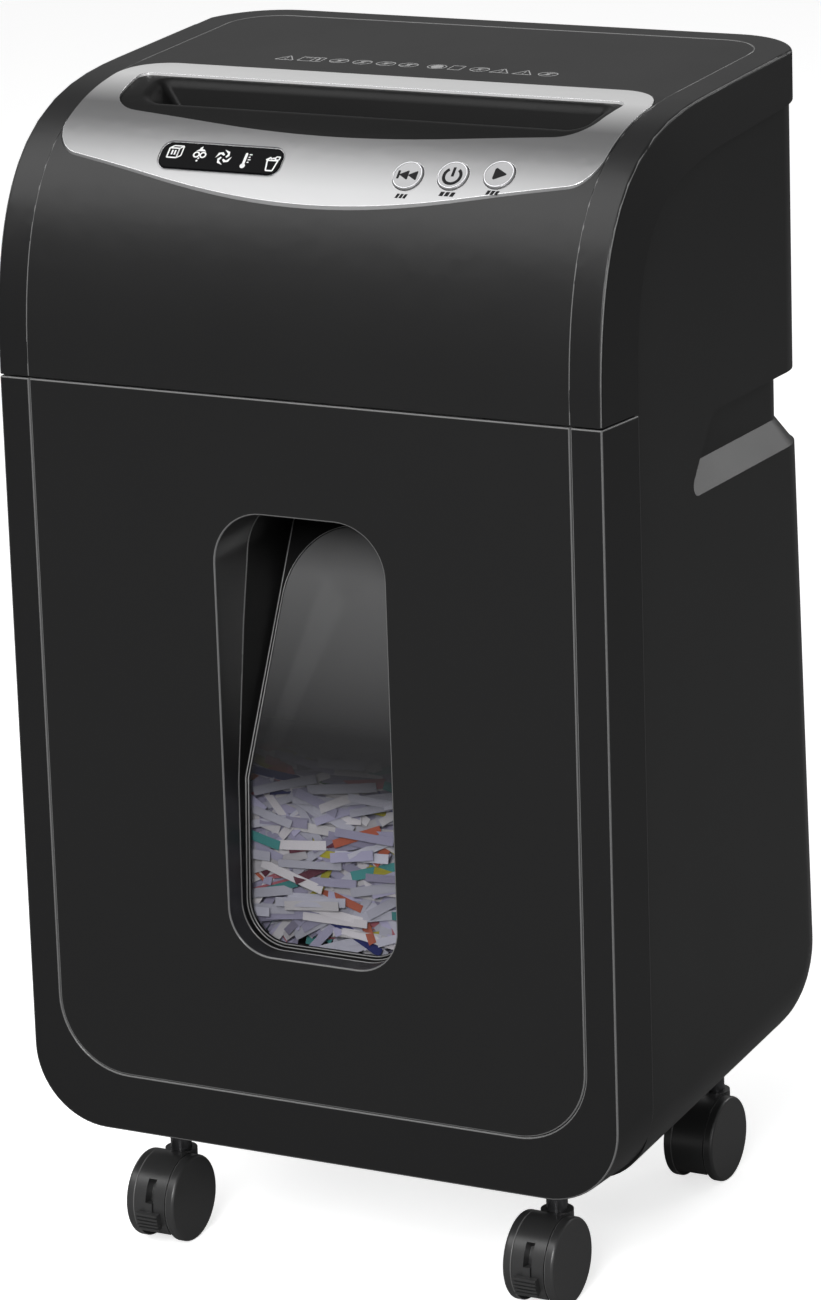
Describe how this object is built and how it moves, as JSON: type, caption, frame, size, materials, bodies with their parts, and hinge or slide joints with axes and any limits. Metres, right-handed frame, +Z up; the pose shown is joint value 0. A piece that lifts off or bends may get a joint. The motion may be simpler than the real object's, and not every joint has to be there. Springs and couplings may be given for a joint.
{
  "type": "paper shredder",
  "caption": "Upright paper shredder with a paper slot in a curved head, a pull-out bin with a window, and braked twin-wheel casters.",
  "frame": {"origin": "on the floor below the middle of the machine", "axes": "+X to the right of a person facing the front, +Y to the back, +Z up"},
  "size_m": [0.351, 0.27, 0.6281],
  "materials": {
    "black_shell": "satin, fine moulded texture",
    "black_panel": "satin, smooth",
    "black_inner": "matt",
    "silver_fascia": "satin silver lacquer with fine flake",
    "silver_button": "silver, bright rim",
    "black_lens": "gloss",
    "led_white": "diffuse",
    "circuit_board": "solder mask",
    "zinc_steel": "zinc plated",
    "hardened_steel": "ground and oiled",
    "bronze_bush": "sintered",
    "nylon_gear": "moulded",
    "smoked_window": "smoked transparent",
    "black_rubber": "matt",
    "black_screw": "black phosphate",
    "chrome_stem": "bright",
    "caster_black": "satin nylon"
  },
  "bodies": {
    "casing": {"left_side_panel": "black_shell", "right_side_panel": "black_shell", "rear_panel": "black_shell", "base_tray": "black_shell", "top_cover_frame": "black_shell", "top_cover_panel": "black_panel", "control_fascia": "silver_fascia", "feed_throat": "black_inner", "indicator_lens": "black_lens", "indicator_leds": "led_white", "control_board": "circuit_board", "power_board": "circuit_board", "paper_sensor": "black_inner", "drawer_switch": "black_inner", "head_deck": "black_inner", "cutter_end_plates": "zinc_steel", "tie_rods": "zinc_steel", "shaft_bushes": "bronze_bush", "stripper_combs": "black_inner", "intermediate_axle": "zinc_steel", "motor_can": "zinc_steel", "drawer_rails": "black_inner", "cord_gland": "black_rubber", "casing_screws": "black_screw", "caster_stems": "chrome_stem", "caster_sockets": "black_inner"},
    "drawer": {"drawer_front_frame": "black_shell", "drawer_front_panel": "black_panel", "drawer_liner": "black_inner", "handle_pocket": "black_inner", "bin_window": "smoked_window", "bin_basket": "black_inner"},
    "rev_key": {"rev_button": "silver_button"},
    "power_key": {"power_button": "silver_button"},
    "fwd_key": {"fwd_button": "silver_button"},
    "rear_cutter": {"cutter_shaft_rear": "hardened_steel", "cutter_gear_rear": "hardened_steel", "drive_gear": "hardened_steel"},
    "front_cutter": {"cutter_shaft_front": "hardened_steel", "cutter_gear_front": "hardened_steel"},
    "reduction_gear": {"intermediate_gear": "nylon_gear"},
    "rotor": {"motor_rotor": "zinc_steel"},
    "caster_front_left": {"caster_hood_front_left": "caster_black", "caster_axle_front_left": "zinc_steel"},
    "wheel_front_left_left_turning": {"wheel_front_left_left": "caster_black"},
    "wheel_front_left_right_turning": {"wheel_front_left_right": "caster_black"},
    "brake_front_left": {"brake_lever_front_left": "caster_black"},
    "caster_front_right": {"caster_hood_front_right": "caster_black", "caster_axle_front_right": "zinc_steel"},
    "wheel_front_right_left_turning": {"wheel_front_right_left": "caster_black"},
    "wheel_front_right_right_turning": {"wheel_front_right_right": "caster_black"},
    "brake_front_right": {"brake_lever_front_right": "caster_black"},
    "caster_rear_left": {"caster_hood_rear_left": "caster_black", "caster_axle_rear_left": "zinc_steel"},
    "wheel_rear_left_left_turning": {"wheel_rear_left_left": "caster_black"},
    "wheel_rear_left_right_turning": {"wheel_rear_left_right": "caster_black"},
    "caster_rear_right": {"caster_hood_rear_right": "caster_black", "caster_axle_rear_right": "zinc_steel"},
    "wheel_rear_right_left_turning": {"wheel_rear_right_left": "caster_black"},
    "wheel_rear_right_right_turning": {"wheel_rear_right_right": "caster_black"}
  },
  "joints": [
    {"name": "drawer_slide", "type": "slide", "parent": "casing", "child": "drawer", "axis": [0, -1, 0], "range_m": [0, 0.235]},
    {"name": "rev_press", "type": "slide", "parent": "casing", "child": "rev_key", "axis": [0, 0.709, -0.7053], "range_m": [0, 0.0015], "stiffness_N_per_m": 600},
    {"name": "power_press", "type": "slide", "parent": "casing", "child": "power_key", "axis": [0, 0.6934, -0.7205], "range_m": [0, 0.0015], "stiffness_N_per_m": 600},
    {"name": "fwd_press", "type": "slide", "parent": "casing", "child": "fwd_key", "axis": [0, 0.6719, -0.7406], "range_m": [0, 0.0015], "stiffness_N_per_m": 600},
    {"name": "rear_cutter_spin", "type": "hinge", "parent": "casing", "child": "rear_cutter", "pos_m": [0, -0.03, 0.545], "axis": [1, 0, 0], "continuous": true},
    {"name": "front_cutter_spin", "type": "hinge", "parent": "casing", "child": "front_cutter", "pos_m": [0, -0.068, 0.545], "axis": [1, 0, 0], "continuous": true},
    {"name": "reduction_gear_spin", "type": "hinge", "parent": "casing", "child": "reduction_gear", "pos_m": [0, 0.018, 0.531], "axis": [1, 0, 0], "continuous": true},
    {"name": "rotor_spin", "type": "hinge", "parent": "casing", "child": "rotor", "pos_m": [0, 0.063, 0.555], "axis": [1, 0, 0], "continuous": true},
    {"name": "swivel_front_left", "type": "hinge", "parent": "casing", "child": "caster_front_left", "pos_m": [-0.113, -0.088, 0.05], "axis": [0, 0, 1], "continuous": true},
    {"name": "roll_front_left_left", "type": "hinge", "parent": "caster_front_left", "child": "wheel_front_left_left_turning", "pos_m": [-0.113, -0.1006, 0.0235], "axis": [1, 0, 0], "continuous": true},
    {"name": "roll_front_left_right", "type": "hinge", "parent": "caster_front_left", "child": "wheel_front_left_right_turning", "pos_m": [-0.113, -0.1006, 0.0235], "axis": [1, 0, 0], "continuous": true},
    {"name": "brake_release_front_left", "type": "hinge", "parent": "caster_front_left", "child": "brake_front_left", "pos_m": [-0.113, -0.1006, 0.0235], "axis": [-1, 0, 0], "range_deg": [0, 18]},
    {"name": "swivel_front_right", "type": "hinge", "parent": "casing", "child": "caster_front_right", "pos_m": [0.113, -0.088, 0.05], "axis": [0, 0, 1], "continuous": true},
    {"name": "roll_front_right_left", "type": "hinge", "parent": "caster_front_right", "child": "wheel_front_right_left_turning", "pos_m": [0.113, -0.1006, 0.0235], "axis": [1, 0, 0], "continuous": true},
    {"name": "roll_front_right_right", "type": "hinge", "parent": "caster_front_right", "child": "wheel_front_right_right_turning", "pos_m": [0.113, -0.1006, 0.0235], "axis": [1, 0, 0], "continuous": true},
    {"name": "brake_release_front_right", "type": "hinge", "parent": "caster_front_right", "child": "brake_front_right", "pos_m": [0.113, -0.1006, 0.0235], "axis": [-1, 0, 0], "range_deg": [0, 18]},
    {"name": "swivel_rear_left", "type": "hinge", "parent": "casing", "child": "caster_rear_left", "pos_m": [-0.113, 0.105, 0.05], "axis": [0, 0, 1], "continuous": true},
    {"name": "roll_rear_left_left", "type": "hinge", "parent": "caster_rear_left", "child": "wheel_rear_left_left_turning", "pos_m": [-0.113, 0.0924, 0.0235], "axis": [1, 0, 0], "continuous": true},
    {"name": "roll_rear_left_right", "type": "hinge", "parent": "caster_rear_left", "child": "wheel_rear_left_right_turning", "pos_m": [-0.113, 0.0924, 0.0235], "axis": [1, 0, 0], "continuous": true},
    {"name": "swivel_rear_right", "type": "hinge", "parent": "casing", "child": "caster_rear_right", "pos_m": [0.113, 0.105, 0.05], "axis": [0, 0, 1], "continuous": true},
    {"name": "roll_rear_right_left", "type": "hinge", "parent": "caster_rear_right", "child": "wheel_rear_right_left_turning", "pos_m": [0.113, 0.0924, 0.0235], "axis": [1, 0, 0], "continuous": true},
    {"name": "roll_rear_right_right", "type": "hinge", "parent": "caster_rear_right", "child": "wheel_rear_right_right_turning", "pos_m": [0.113, 0.0924, 0.0235], "axis": [1, 0, 0], "continuous": true}
  ],
  "couplings": [
    {"joint": "front_cutter_spin", "follows": "rear_cutter_spin", "ratio": -1},
    {"joint": "reduction_gear_spin", "follows": "rear_cutter_spin", "ratio": -2.5714},
    {"joint": "rotor_spin", "follows": "rear_cutter_spin", "ratio": 12}
  ]
}
